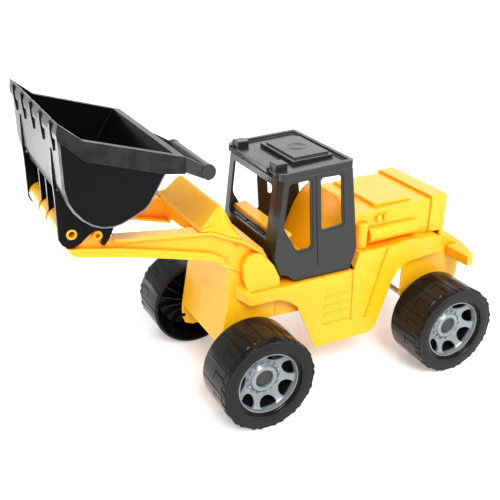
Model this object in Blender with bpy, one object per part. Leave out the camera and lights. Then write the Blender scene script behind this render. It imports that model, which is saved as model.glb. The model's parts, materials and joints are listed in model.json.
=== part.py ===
"""Toy front loader: yellow body, black cab and bucket, four wheels on two steel axles.

Frame: +X points forward to the bucket, +Y to the toy's left, +Z up. The origin is on the
ground under the middle of the toy. The design is written in millimetres from the front
axle, and place() turns that into metres from the origin.
"""
import math

import bmesh
import bpy
from mathutils import Matrix, Vector

# ---------------------------------------------------------------- driving dimensions (mm)
MM = 0.001
FRONT_AXLE_X = 65.5          # front axle ahead of the origin
WHEELBASE = 275.0
TYRE_R = 60.0
TYRE_OUT_Y = 138.0           # outer face of a tyre
TYRE_IN_Y = 77.0             # inner face of a tyre
TYRE_WALL = 4.0
RIM_R = 39.7
RIM_FACE_Y = 132.4
RIM_DISC_Y = 118.6
HUB_R = 17.0
HUB_TUBE_R = 9.6
WEB_Y = 108.4                # outer face of the wheel's web, behind the rim
CAP_R = 10.8
CAP_FACE_Y = 120.8
AXLE_R = 4.0
GAP = 0.3                    # clearance between touching pieces
RUN_GAP = 0.5                # clearance between pieces that turn

LIFT_PIVOT = (-12.5, 182.0)  # x, z of the lift arm pivot
BUCKET_PIVOT = (196.4, 260.7)
STOP_TUBE = (170.0, 254.5)
SHAFT_R = 4.0
PIN_R = 5.5
STOP_R = 5.2
DRUM_R = 15.0
NOSE_R = 12.5

ARM_OUT_Y = 69.0             # outer face of the arm flanges
ARM_WEB_Y = 64.3             # outer face of the arm web
ARM_WEB_IN_Y = 60.6          # inner face of the arm web
ARM_TAIL_Y = 62.4            # outer face of the thin tail plate
ARM_IN_Y = 50.0              # inner edge of the arm top wall
WALL = 3.0
BODY_Y = 74.0                # outer face of the body sides
FRAME_Y = 60.0
UPRIGHT_Y = 70.0
CAB_Y = 69.0
CAB_FRONT_Y = 59.0
ROOF_Y = 70.5
HOOD_Y = 57.7
BUCKET_Y = 102.0            # half width of the bucket's rim band
BUCKET_BODY_Y = 98.0
EAR_THICK = 4.2
INNER_EAR_Y = 15.5           # middle of each inner ear
BUCKET_WALL = 3.2

DECK_Z = 147.0
REAR_DECK_Z = 170.0
HOOD_Z = 214.5
CAP_Z = 220.5
SILL_Z = 200.4               # lower edge of the windshield opening

YELLOW = ("yellow_plastic", (0.98, 0.76, 0.02, 1.0), 0.35, 0.0)
BLACK = ("black_plastic", (0.035, 0.036, 0.036, 1.0), 0.38, 0.0)
TYRE_BLACK = ("tyre_plastic", (0.025, 0.025, 0.026, 1.0), 0.42, 0.0)
SILVER = ("silver_plastic", (0.52, 0.54, 0.56, 1.0), 0.36, 0.35)
STEEL = ("axle_steel", (0.60, 0.60, 0.60, 1.0), 0.30, 1.0)


# ---------------------------------------------------------------- small helpers
def clear_scene():
    for old in list(bpy.data.objects):
        bpy.data.objects.remove(old, do_unlink=True)


def place(x, y, z):
    """Point in metres from millimetres measured from the front axle."""
    return Vector(((x + FRONT_AXLE_X) * MM, y * MM, z * MM))


def make_material(spec, node):
    name, colour, roughness, metallic = spec
    mat = bpy.data.materials.new(f"{name}_{node}")
    mat.use_nodes = True
    shader = mat.node_tree.nodes["Principled BSDF"]
    shader.inputs["Base Color"].default_value = colour
    shader.inputs["Roughness"].default_value = roughness
    shader.inputs["Metallic"].default_value = metallic
    return mat


def link_mesh(name, bm, spec):
    bmesh.ops.recalc_face_normals(bm, faces=bm.faces)
    if bm.calc_volume(signed=True) < 0.0:
        bmesh.ops.reverse_faces(bm, faces=bm.faces)
    mesh = bpy.data.meshes.new(name)
    bm.to_mesh(mesh)
    bm.free()
    obj = bpy.data.objects.new(name, mesh)
    bpy.context.collection.objects.link(obj)
    if spec:
        mesh.materials.append(make_material(spec, name))
    return obj


def loft(name, rings, spec=None):
    """Closed solid through rings of points, each ring a list of (x, y, z) in mm."""
    bm = bmesh.new()
    rows = [[bm.verts.new(place(*p)) for p in ring] for ring in rings]
    count = len(rings[0])
    for low, high in zip(rows, rows[1:]):
        for i in range(count):
            j = (i + 1) % count
            bm.faces.new((low[i], low[j], high[j], high[i]))
    bm.faces.new(rows[0])
    bm.faces.new(rows[-1])
    return link_mesh(name, bm, spec)


def side_prism(name, outline, y0, y1, spec=None):
    """Outline of (x, z) points, extruded across the toy from y0 to y1."""
    rings = [[(x, y, z) for x, z in outline] for y in (y0, y1)]
    return loft(name, rings, spec)


def plan_prism(name, outline, z0, z1, spec=None):
    """Outline of (x, y) points, extruded upward from z0 to z1."""
    rings = [[(x, y, z) for x, y in outline] for z in (z0, z1)]
    return loft(name, rings, spec)


def front_prism(name, outline, x0, x1, spec=None):
    """Outline of (y, z) points, extruded along the toy from x0 to x1."""
    rings = [[(x, y, z) for y, z in outline] for x in (x0, x1)]
    return loft(name, rings, spec)


def arc(centre, radius, start, end, steps):
    """Points on a circle, angles in degrees, both ends included."""
    points = []
    for i in range(steps + 1):
        a = math.radians(start + (end - start) * i / steps)
        points.append((centre[0] + radius * math.cos(a), centre[1] + radius * math.sin(a)))
    return points


def circle(centre, radius, steps):
    return arc(centre, radius, 0.0, 360.0 * (steps - 1) / steps, steps - 1)


def grown(outline, distance):
    """Outline moved outward by distance on every side."""
    area = sum(a[0] * b[1] - b[0] * a[1] for a, b in zip(outline, outline[1:] + outline[:1]))
    turn = 1.0 if area > 0.0 else -1.0
    points = []
    for i, here in enumerate(outline):
        before, after = outline[i - 1], outline[(i + 1) % len(outline)]
        normals = []
        for a, b in ((before, here), (here, after)):
            run = math.hypot(b[0] - a[0], b[1] - a[1])
            normals.append(((b[1] - a[1]) / run * turn, (a[0] - b[0]) / run * turn))
        (ax, az), (bx, bz) = normals
        reach = distance / (1.0 + ax * bx + az * bz)
        points.append((here[0] + (ax + bx) * reach, here[1] + (az + bz) * reach))
    return points


def soft_corners(outline, cut_back):
    """Each corner replaced by a short flat that starts cut_back before it."""
    points = []
    for i, here in enumerate(outline):
        for other in (outline[i - 1], outline[(i + 1) % len(outline)]):
            run = math.hypot(other[0] - here[0], other[1] - here[1])
            share = cut_back / run
            points.append((here[0] + (other[0] - here[0]) * share, here[1] + (other[1] - here[1]) * share))
    return points


def cross_cylinder(name, centre, radius, y0, y1, spec=None, steps=24):
    return side_prism(name, circle(centre, radius, steps), y0, y1, spec)


def add_boolean(obj, other, operation):
    mod = obj.modifiers.new(f"{operation}_{other.name}", "BOOLEAN")
    mod.operation = operation
    mod.solver = "EXACT"
    mod.object = other
    other.hide_render = True
    other.display_type = "WIRE"


def cut(obj, *others):
    for other in others:
        add_boolean(obj, other, "DIFFERENCE")


def join(obj, *others):
    for other in others:
        add_boolean(obj, other, "UNION")


def both_sides(make, name, outline, y0, y1):
    """The same helper solid on the left and on the right."""
    return [make(f"{name}_left", outline, y0, y1), make(f"{name}_right", outline, -y1, -y0)]


def mirror_y(y0, y1, sign):
    """Span across the toy on the left, or its mirror image on the right."""
    return (y0, y1) if sign > 0 else (-y1, -y0)


def smooth_round(obj, angle=35.0):
    mesh = obj.data
    mesh.shade_smooth()
    mesh.set_sharp_from_angle(angle=math.radians(angle))


def turned(name, profile, spec, steps):
    """Solid of revolution about the local Y axis; profile is (radius, y) in mm, closed."""
    bm = bmesh.new()
    rows = []
    for i in range(steps):
        a = 2.0 * math.pi * i / steps
        spot = (math.cos(a), math.sin(a))
        rows.append([bm.verts.new(Vector((r * spot[0], y, r * spot[1])) * MM) for r, y in profile])
    count = len(profile)
    for i in range(steps):
        a, b = rows[i], rows[(i + 1) % steps]
        for k in range(count):
            m = (k + 1) % count
            bm.faces.new((a[k], a[m], b[m], b[k]))
    obj = link_mesh(name, bm, spec)
    smooth_round(obj)
    return obj


# ---------------------------------------------------------------- wheels and axles
TYRE_MID_Y = 0.5 * (TYRE_OUT_Y + TYRE_IN_Y)
RIM_WINDOWS = 7


def cap_solid(name, profile, spec, steps):
    """Turned solid without a bore; profile is (radius, y) from one pole to the other."""
    bm = bmesh.new()
    low = bm.verts.new(Vector((0.0, profile[0][1], 0.0)) * MM)
    high = bm.verts.new(Vector((0.0, profile[-1][1], 0.0)) * MM)
    rows = []
    for r, y in profile[1:-1]:
        ring = circle((0.0, 0.0), r, steps)
        rows.append([bm.verts.new(Vector((x, y, z)) * MM) for x, z in ring])
    for i in range(steps):
        j = (i + 1) % steps
        bm.faces.new((low, rows[0][i], rows[0][j]))
        bm.faces.new((high, rows[-1][j], rows[-1][i]))
        for a, b in zip(rows, rows[1:]):
            bm.faces.new((a[i], b[i], b[j], a[j]))
    obj = link_mesh(name, bm, spec)
    smooth_round(obj)
    return obj


def rim_window_cutter(name):
    """Wedge-shaped windows through the rim disc, as one mesh of separate prisms."""
    bm = bmesh.new()
    inner, outer, bend = 22.0, 36.0, 33.0
    narrow, wide = math.radians(12.0), math.radians(16.0)
    loop = [(inner, -narrow), (bend, -wide), (outer, -0.7 * wide), (outer, 0.7 * wide), (bend, wide),
            (inner, narrow)]
    disc = RIM_DISC_Y - TYRE_MID_Y
    for k in range(RIM_WINDOWS):
        mid = 2.0 * math.pi * k / RIM_WINDOWS + math.radians(110.6)
        ends = []
        for y in (disc - 12.0, disc + 12.0):
            spots = [(r * math.cos(mid + a), y, r * math.sin(mid + a)) for r, a in loop]
            ends.append([bm.verts.new(Vector(p) * MM) for p in spots])
        low, high = ends
        for i in range(len(loop)):
            j = (i + 1) % len(loop)
            bm.faces.new((low[i], low[j], high[j], high[i]))
        bm.faces.new(low)
        bm.faces.new(high)
    return link_mesh(name, bm, None)


def build_wheel(label, axle_x, side):
    """Tyre, rim and hub cap on an empty that sits on the wheel's axis."""
    hub = bpy.data.objects.new(f"{label}_hub", None)
    bpy.context.collection.objects.link(hub)
    hub.location = place(axle_x, side * TYRE_MID_Y, TYRE_R)
    hub.rotation_euler = (0.0, 0.0, 0.0 if side > 0 else math.pi)
    out = TYRE_OUT_Y - TYRE_MID_Y
    inn = TYRE_IN_Y - TYRE_MID_Y
    web = WEB_Y - TYRE_MID_Y
    bore = AXLE_R + RUN_GAP
    mouth = RIM_R + 2.8
    hollow = TYRE_R - TYRE_WALL - 0.6
    tyre = turned(f"{label}_tyre", [
        (bore, inn - 1.0), (HUB_TUBE_R, inn - 1.0), (HUB_TUBE_R, web - WALL), (RIM_R + 3.3, web - WALL),
        (RIM_R + 3.3, out - 7.6), (hollow - 3.0, out - 6.0), (hollow, out - 9.0), (hollow, inn),
        (TYRE_R - 2.5, inn), (TYRE_R, inn + 3.0), (TYRE_R, out - 1.6), (TYRE_R - 1.6, out),
        (mouth + 1.0, out), (mouth, out - 1.0), (mouth, out - 4.4), (RIM_R + 0.3, out - 4.4),
        (RIM_R + 0.3, web), (bore, web),
    ], TYRE_BLACK, 48)
    face = RIM_FACE_Y - TYRE_MID_Y
    disc = RIM_DISC_Y - TYRE_MID_Y
    seat = CAP_FACE_Y - TYRE_MID_Y - 3.2
    rim = turned(f"{label}_rim", [
        (bore, web + GAP), (9.0, web + GAP), (9.5, disc - 3.5), (RIM_R - 3.6, disc - 3.5),
        (RIM_R - 3.2, disc - 8.0), (RIM_R, disc - 8.0), (RIM_R, face + 1.2), (RIM_R - 1.0, face + 1.6),
        (RIM_R - 2.2, face), (RIM_R - 3.8, disc + 1.5), (RIM_R - 4.6, disc), (HUB_R + 1.0, disc),
        (HUB_R - 3.0, disc + 5.0), (CAP_R + GAP, disc + 5.0), (CAP_R + GAP, seat - GAP), (bore, seat - GAP),
    ], SILVER, 35)
    cut(rim, attach(rim_window_cutter(f"{label}_windows"), hub))
    cap = cap_solid(f"{label}_hub_cap", [
        (0.0, seat), (CAP_R, seat), (CAP_R, seat + 2.4), (CAP_R - 1.0, seat + 3.2), (0.0, seat + 3.2),
    ], BLACK, 20)
    for piece in (tyre, rim, cap):
        attach(piece, hub)


def attach(obj, parent):
    obj.parent = parent
    return obj


def build_axles():
    half = CAP_FACE_Y - 3.2 - GAP - 1.0
    for label, x in (("front_axle", 0.0), ("rear_axle", -WHEELBASE)):
        axle = cross_cylinder(label, (x, TYRE_R), AXLE_R, -half, half, STEEL, 20)
        smooth_round(axle)


# ---------------------------------------------------------------- chassis
def build_front_frame():
    """Nose box with the sloping front panel, axle plates and the tower of the lift shaft."""
    frame = side_prism("front_frame", [
        (28.0, 75.0), (18.0, 137.0), (18.0, 180.0), (2.0, 197.0), (-27.0, 197.0), (-46.5, 160.0),
        (-46.5, 100.0), (-31.0, 100.0), (-26.0, 60.0), (-20.0, 46.0), (-12.0, 43.0), (14.0, 43.0),
        (24.0, 47.0), (28.0, 58.0),
    ], -FRAME_Y, FRAME_Y, YELLOW)
    under = side_prism("front_frame_under", [(40.0, 30.0), (40.0, 76.0), (-60.0, 76.0), (-60.0, 30.0)],
                       -FRAME_Y + WALL, FRAME_Y - WALL)
    hollow = side_prism("front_frame_hollow", [
        (24.5, 70.0), (15.0, 137.0), (15.0, 178.8), (0.7, 194.0), (-25.2, 194.0), (-43.5, 159.2),
        (-43.5, 139.0), (-50.0, 138.0), (-50.0, 70.0),
    ], -FRAME_Y + WALL, FRAME_Y - WALL)
    notch = side_prism("front_frame_notch", [(30.0, 62.0), (23.0, 62.0), (23.0, 56.0), (30.0, 56.0)],
                       -FRAME_Y - 1.0, FRAME_Y + 1.0)
    axle_bore = cross_cylinder("front_axle_bore", (0.0, TYRE_R), AXLE_R + GAP, -70.0, 70.0)
    shaft_bore = cross_cylinder("lift_shaft_bore", LIFT_PIVOT, SHAFT_R + GAP, -70.0, 70.0)
    cut(frame, under, hollow, notch, axle_bore, shaft_bore)


def body_outline():
    return [
        (-5.5, 131.0), (-0.5, DECK_Z), (-152.0, DECK_Z), (-158.0, REAR_DECK_Z), (-204.0, 169.3),
        (-232.0, 172.7), (-285.4, 168.7), (-296.7, 145.6), (-265.3, 144.1), (-236.1, 141.2),
        (-221.4, 131.4), (-211.8, 113.9), (-192.0, 53.4), (-186.0, 49.0), (-106.0, 47.0), (-99.0, 49.5),
        (-73.8, 107.5), (-71.8, 113.5), (-59.4, 124.0), (-44.0, 131.0),
    ]


def build_main_body():
    """Skirted body with the wheel arches, the decks and the uprights that hide the lift pivots."""
    body = side_prism("main_body", body_outline(), -BODY_Y, BODY_Y, YELLOW)
    hollow = side_prism("body_hollow", [
        (-46.8, 20.0), (-46.8, DECK_Z - WALL), (-149.8, DECK_Z - WALL), (-155.8, REAR_DECK_Z - WALL),
        (-204.0, 166.3), (-283.4, 165.7), (-293.0, 146.4), (-293.0, 20.0),
    ], -BODY_Y + WALL, BODY_Y - WALL)
    skins = both_sides(side_prism, "upright_skin", [
        (-4.7, DECK_Z - 2.0), (1.2, 165.0), *arc(LIFT_PIVOT, DRUM_R, -8.0, 152.0, 12), (-31.0, 184.6),
        (-38.0, 176.0), (-46.0, 158.6), (-45.8, DECK_Z - 2.0),
    ], ARM_TAIL_Y + 0.5, UPRIGHT_Y)
    blocks = both_sides(side_prism, "upright_block", [
        (-22.0, DECK_Z - 2.0), (-22.0, 168.0), (-30.0, 184.0), (-38.0, 176.0), (-46.0, 158.6),
        (-45.8, DECK_Z - 2.0),
    ], FRAME_Y + 0.4, ARM_TAIL_Y + 1.0)
    flanges = [
        loft(f"fender_flange_{side}", [
            [(7.6, k * (FRAME_Y + GAP), 138.6), (11.4, k * (FRAME_Y + GAP), 157.0),
             (-6.0, k * (FRAME_Y + GAP), 157.0), (-14.0, k * (FRAME_Y + GAP), 138.6)],
            [(-5.5, k * BODY_Y, 131.0), (-0.5, k * BODY_Y, DECK_Z),
             (-6.0, k * BODY_Y, DECK_Z), (-14.0, k * BODY_Y, 131.0)],
        ])
        for side, k in (("left", 1.0), ("right", -1.0))
    ]
    front_gap = side_prism("body_front_gap", [
        (10.0, 90.0), (-47.0, 90.0), (-47.0, 240.0), (10.0, 240.0),
    ], -FRAME_Y - GAP, FRAME_Y + GAP)
    rails = both_sides(side_prism, "inner_rail", [
        (-47.0, 100.0), (-84.0, 99.0), (-96.0, 128.0), (-96.0, DECK_Z - 1.0), (-47.0, DECK_Z - 1.0),
    ], FRAME_Y - WALL, FRAME_Y)
    hood_seat = plan_prism("hood_seat", [
        (-151.0, -HOOD_Y - 0.4), (-151.0, HOOD_Y + 0.4), (-300.0, HOOD_Y + 0.4), (-300.0, -HOOD_Y - 0.4),
    ], REAR_DECK_Z - 0.3, REAR_DECK_Z + 20.0)
    tail_pockets = both_sides(side_prism, "tail_pocket", circle(LIFT_PIVOT, 18.6, 40),
                              FRAME_Y - 10.0, ARM_TAIL_Y + 0.5)
    recesses = both_sides(side_prism, "step_recess", [
        (-109.0, 130.5), (-149.0, 130.5), (-149.0, 78.0), (-109.0, 78.0),
    ], BODY_Y - 1.6, BODY_Y + 2.0)
    seams = both_sides(side_prism, "door_groove", [
        (-147.0, 151.0), (-151.0, 151.0), (-153.2, 75.0), (-149.0, 75.0),
    ], BODY_Y - 1.6, BODY_Y + 2.0)
    joints = both_sides(side_prism, "fender_groove", [
        (-198.0, 175.0), (-189.5, 145.4), (-170.5, 74.0), (-176.0, 74.0), (-195.5, 145.4), (-205.0, 175.0),
    ], BODY_Y - 1.8, BODY_Y + 2.0)
    treads = []
    for i, z in enumerate((91.5, 103.0, 117.0)):
        treads += both_sides(side_prism, f"step_tread_{i}", [
            (-111.0, z + 1.4), (-147.0, z + 1.4), (-147.0, z - 1.4), (-111.0, z - 1.4),
        ], BODY_Y - 2.4, BODY_Y - 0.4)
    cut(body, hollow)
    join(body, *skins, *blocks, *rails, *flanges)
    cut(body, front_gap, hood_seat, *tail_pockets, *recesses, *seams, *joints)
    join(body, *treads)


def build_rear_frame():
    """Rear box under the hood end with the plates that carry the rear axle."""
    frame = side_prism("rear_frame", [
        (-240.0, 138.0), (-298.0, 138.0), (-298.0, 161.5), (-305.0, 161.5), (-328.0, 146.0),
        (-339.5, 129.0), (-336.0, 89.0), (-296.0, 86.0), (-290.0, 52.0), (-284.0, 45.0),
        (-266.0, 45.0), (-258.0, 52.0), (-241.0, 84.0),
    ], -FRAME_Y, FRAME_Y, YELLOW)
    hollow = side_prism("rear_frame_hollow", [
        (-230.0, 20.0), (-230.0, 135.0), (-301.0, 135.0), (-301.0, 158.5), (-303.5, 158.5),
        (-308.5, 146.0), (-308.5, 127.0), (-336.0, 127.0), (-333.0, 92.0), (-296.0, 89.0), (-296.0, 20.0),
    ], -FRAME_Y + WALL, FRAME_Y - WALL)
    slot = side_prism("bumper_slot", [
        (-311.7, 129.7), (-350.0, 129.7), (-350.0, 145.3), (-311.7, 145.3),
    ], -FRAME_Y - 2.0, FRAME_Y + 2.0)
    bore = cross_cylinder("rear_axle_bore", (-WHEELBASE, TYRE_R), AXLE_R + GAP, -70.0, 70.0)
    cut(frame, hollow, slot, bore)


def build_rear_bumper():
    """Wing-shaped counterweight that slides into the slot of the rear frame."""
    half = [(-342.0, 40.0), (-338.0, 64.0), (-325.0, 100.0), (-322.0, 102.3), (-314.0, 102.3),
            (-312.0, 66.0), (-312.0, 30.0)]
    outline = half + [(x, -y) for x, y in reversed(half)]
    bumper = plan_prism("rear_bumper", outline, 130.0, 145.0, YELLOW)
    hollow_half = [(-338.6, 39.0), (-335.0, 62.0), (-321.0, 99.3), (-317.2, 99.3), (-315.2, 66.0),
                   (-315.2, 30.0)]
    hollow = plan_prism("bumper_hollow", hollow_half + [(x, -y) for x, y in reversed(hollow_half)],
                        120.0, 142.0)
    cut(bumper, hollow)


def build_hood():
    """Engine hood with its raised panel; its front wall closes the rear of the cab."""
    def ring(x, top):
        side, low = HOOD_Y, REAR_DECK_Z
        half = [(side, low), (side, top - 2.4), (side - 0.6, top - 0.7), (side - 2.2, top)]
        return [(x, y, z) for y, z in half + [(-y, z) for y, z in reversed(half)]]
    hood = loft("hood", [ring(-150.6, 214.0), ring(-277.7, 216.6)], YELLOW)
    panel = loft("hood_panel_solid", [
        [(x, y, z) for x, y in ((-195.0 - d, -47.0 + d), (-195.0 - d, 47.0 - d), (-252.0 + d, 47.0 - d),
                                (-252.0 + d, -47.0 + d))]
        for z, d in ((210.0, 0.0), (218.4, 0.0), (219.6, 1.4))
    ])
    hollow = plan_prism("hood_hollow", [
        (-154.0, -54.7), (-154.0, 54.7), (-274.5, 54.7), (-274.5, -54.7),
    ], 160.0, 210.5)
    bulkhead = loft("bulkhead_solid", [
        [(-150.9, y, z) for y, z in bulkhead_outline()],
        [(max(-147.4, -147.4 + (200.5 - z) * 0.435), y, z) for y, z in bulkhead_outline()],
    ])
    bumps = []
    for i, x in enumerate((-193.5, -204.5)):
        bumps += both_sides(side_prism, f"hood_bump_{i}", [
            (x - 3.4, 201.6), (x + 3.4, 201.6), (x + 3.4, 209.4), (x - 3.4, 209.4),
        ], HOOD_Y - 1.0, HOOD_Y + 4.2)
    join(hood, panel)
    cut(hood, hollow)
    join(hood, bulkhead, *bumps)


def bulkhead_outline():
    """Front view (y, z) of the wall between the cab and the engine, which leans forward as a seat back."""
    half = [
        (65.4, DECK_Z + 0.4), (65.4, 188.0), (64.3, 200.5), (50.0, 217.0), (35.0, 230.0), (30.0, 233.0),
    ]
    return half + [(-y, z) for y, z in reversed(half)]


def build_rear_cap():
    """Rounded rear end of the hood."""
    def ring(x, side, low, top, soft):
        half = [(side, low), (side, top - soft), (side - 0.3 * soft, top - 0.3 * soft), (side - soft, top)]
        return [(x, y, z) for y, z in half + [(-y, z) for y, z in reversed(half)]]
    cap = loft("rear_cap", [
        ring(-278.0, 59.5, 169.9, CAP_Z, 2.4), ring(-302.4, 59.5, 169.9, CAP_Z, 2.4),
        ring(-304.0, 58.6, 169.9, CAP_Z - 1.0, 2.4), ring(-304.6, 57.0, 169.9, CAP_Z - 2.8, 2.4),
    ], YELLOW)
    skirt = loft("rear_cap_skirt", [
        [(x, y, z) for x, y in (
            (-297.3, -59.5), (-297.3, 59.5), (-302.6, 59.5), (-304.6, 57.0), (-304.6, -57.0), (-302.6, -59.5),
        )]
        for z in (162.0, 176.0)
    ])
    hollow = plan_prism("rear_cap_hollow", [
        (-281.0, -56.0), (-281.0, 56.0), (-300.6, 56.0), (-300.6, -56.0),
    ], 160.0, 216.0)
    slots = [
        front_prism(f"grille_slot_{i}", [(-38.0, z), (38.0, z), (38.0, z + 4.0), (-38.0, z + 4.0)],
                    -307.0, -303.2)
        for i, z in enumerate((182.0, 191.0, 200.0))
    ]
    join(cap, skirt)
    cut(cap, hollow, *slots)


def build_side_details():
    """Half-round tanks and upright canisters on both flanks of the hood."""
    for side, sign in (("left", 1.0), ("right", -1.0)):
        near = HOOD_Y + 0.3
        shape = arc((near, 183.9), 10.4, -90.0, 90.0, 8)
        tank = front_prism(f"side_tank_{side}", [(sign * y, z) for y, z in shape], -252.0, -178.4, YELLOW)
        smooth_round(tank)
        plan = arc((-169.0, near), 8.6, 0.0, 180.0, 8)
        can = plan_prism(f"canister_{side}", [(x, sign * y) for x, y in plan], 170.4, 203.0, YELLOW)
        smooth_round(can)


# ---------------------------------------------------------------- cab
def cab_front_x(z):
    """Sloping front plane of the cab above the sill."""
    return -37.3 - (z - 208.0) * 0.1014


def build_cab():
    """Open cab with two side windows each side, a windshield opening and no rear wall."""
    cab = side_prism("cab_shell", [
        (-147.5, DECK_Z + GAP), (-69.4, DECK_Z + GAP), (-58.4, 157.5), (-47.4, 161.0), (-39.0, 182.0),
        (-37.3, 208.0), (-44.4, 278.2), (-141.4, 282.6), (-156.0, 176.0),
    ], -CAB_Y, CAB_Y, BLACK)
    hollow = side_prism("cab_hollow", [
        (-175.0, 140.0), (-73.0, 140.0), (-71.6, DECK_Z + 3.3), (-59.5, 160.6), (-49.6, 163.8),
        (-42.2, 182.5),
        (-40.6, 208.0), (-47.6, 278.0), (-48.0, 300.0), (-175.0, 300.0),
    ], -CAB_Y + WALL, CAB_Y - WALL)
    corners = []
    for side, k in (("left", 1.0), ("right", -1.0)):
        rings = [[(cab_front_x(z) + dx, k * y, z) for dx, y in ((0.0, 60.0), (8.0, 80.0), (-9.0, 80.0))]
                 for z in (170.0, 300.0)]
        corners.append(loft(f"cab_corner_{side}", rings))
    front_window = [(-56.0, 274.0), (-83.5, 275.6), (-89.7, 189.2), (-69.8, 187.3), (-50.4, 220.5)]
    rear_window = [(-98.0, 275.6), (-126.4, 275.6), (-132.9, 211.6), (-103.0, 209.0)]
    windows = []
    frames = []
    for i, outline in enumerate((front_window, rear_window)):
        windows += both_sides(side_prism, f"side_window_{i}", soft_corners(outline, 3.0),
                              CAB_Y - 6.0, CAB_Y + 3.0)
        frames += both_sides(side_prism, f"window_frame_{i}", soft_corners(grown(outline, 2.6), 3.4),
                             CAB_Y - 0.8, CAB_Y + 3.0)
    door_seams = both_sides(side_prism, "door_seam", [
        (-89.0, 284.0), (-90.6, 284.0), (-100.6, 163.5), (-99.0, 163.5),
    ], CAB_Y - 1.0, CAB_Y + 3.0)
    half = [(50.0, SILL_Z), (50.0, 267.0), (47.0, 270.0)]
    windshield = front_prism("windshield_opening", half + [(-y, z) for y, z in reversed(half)], -52.0, -30.0)
    cowl = side_prism("cab_cowl", [
        (-39.0, 197.0), (-39.0, SILL_Z), (-48.0, SILL_Z + 1.4), (-48.0, 192.0), (-41.6, 188.0),
    ], -58.0, 58.0)
    cut(cab, hollow, *corners, *frames, *windows, *door_seams, windshield)
    join(cab, cowl)


def build_dashboard():
    """Yellow console behind the windshield sill."""
    dash = side_prism("dashboard", [
        (-48.6, 189.0), (-48.6, SILL_Z + 2.6), (-50.6, 206.8), (-66.0, 208.2), (-66.0, 204.8), (-56.0, 200.0),
        (-56.0, 165.0), (-50.4, 165.0), (-45.6, 178.0),
    ], -60.0, 60.0, YELLOW)
    foot = side_prism("dashboard_foot", [
        (-74.0, DECK_Z + 0.4), (-86.0, DECK_Z + 0.4), (-86.0, 154.0), (-60.0, 164.4), (-55.0, 170.0),
        (-54.0, 166.0), (-60.4, 161.0), (-73.2, 150.6),
    ], -40.0, 40.0)
    join(dash, foot)


def build_roof():
    """Cab roof that falls gently to the front, with a raised rim, a hatch and two lamp boxes."""
    roof = side_prism("cab_roof", [
        (-42.6, 278.6), (-40.2, 281.0), (-41.0, 287.8), (-143.0, 293.0), (-143.4, 283.0),
    ], -ROOF_Y, ROOF_Y, BLACK)
    well = side_prism("roof_well", [(-56.5, 300.0), (-56.5, 285.0), (-137.5, 289.4), (-137.5, 300.0)],
                      -64.5, 64.5)
    under = side_prism("roof_under", [(-62.0, 270.0), (-62.0, 281.8), (-133.0, 285.6), (-133.0, 270.0)],
                       -61.0, 61.0)
    front_half = [
        (-30.0, 58.0), (-40.0, 58.0), (-44.0, 66.0), (-52.0, ROOF_Y + 0.1), (-52.0, 80.0), (-30.0, 80.0),
    ]
    rear_half = [(-139.5, ROOF_Y + 0.1), (-143.6, 66.0), (-150.0, 66.0), (-150.0, 80.0), (-139.5, 80.0)]
    corners = []
    seats = []
    for side, k in (("left", 1.0), ("right", -1.0)):
        for end, shape in (("front", front_half), ("rear", rear_half)):
            outline = [(x, k * y) for x, y in shape]
            corners.append(plan_prism(f"roof_corner_{end}_{side}", outline, 270.0, 300.0))
        seats.append(side_prism(f"lamp_seat_{side}", [
            (-30.0, 281.7), (-60.3, 281.7), (-60.3, 300.0), (-30.0, 300.0),
        ], *mirror_y(40.3, 55.9, k)))
    cut(roof, well, under, *corners, *seats)
    hatch = side_prism("roof_hatch", [(-76.0, 286.4), (-131.0, 289.4), (-131.0, 292.5), (-76.0, 290.5)],
                       -41.0, 41.0, BLACK)
    upper = side_prism("hatch_upper", [(-81.0, 290.0), (-129.0, 291.5), (-129.0, 294.4), (-81.0, 292.8)],
                       -34.5, 34.5)
    join(hatch, upper)
    for side, k in (("left", 1.0), ("right", -1.0)):
        lamp = side_prism(f"lamp_{side}", [
            (-60.0, 282.0), (-44.6, 282.0), (-43.3, 283.3), (-43.8, 294.2), (-45.0, 295.5), (-60.0, 295.5),
        ], *mirror_y(40.6, 55.6, k), BLACK)
        lens = front_prism(f"lamp_lens_{side}", [(k * 42.6, 284.5), (k * 53.6, 284.5), (k * 53.6, 293.0),
                                                 (k * 42.6, 293.0)], -44.9, -38.0)
        cut(lamp, lens)


# ---------------------------------------------------------------- lift arms
def arm_outline():
    """Side view of a lift arm from the nose along the bottom to the tail and back on top."""
    tail = arc(LIFT_PIVOT, 17.8, -30.0, -222.9, 14)
    nose = arc(BUCKET_PIVOT, NOSE_R, 110.0, -50.0, 8)
    return [
        (202.4, 245.0), (197.8, 237.7), (193.4, 234.5), (148.1, 225.5), (97.0, 213.4), (36.6, 197.4),
        (25.8, 187.3), (7.4, 175.5), *tail, (3.3, 216.7), (25.9, 226.5), (41.1, 234.1), (96.0, 239.7),
        (146.9, 245.6), (155.8, 248.3), (163.5, 256.0), (168.0, 261.0), (180.0, 268.0), *nose,
    ]


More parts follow.
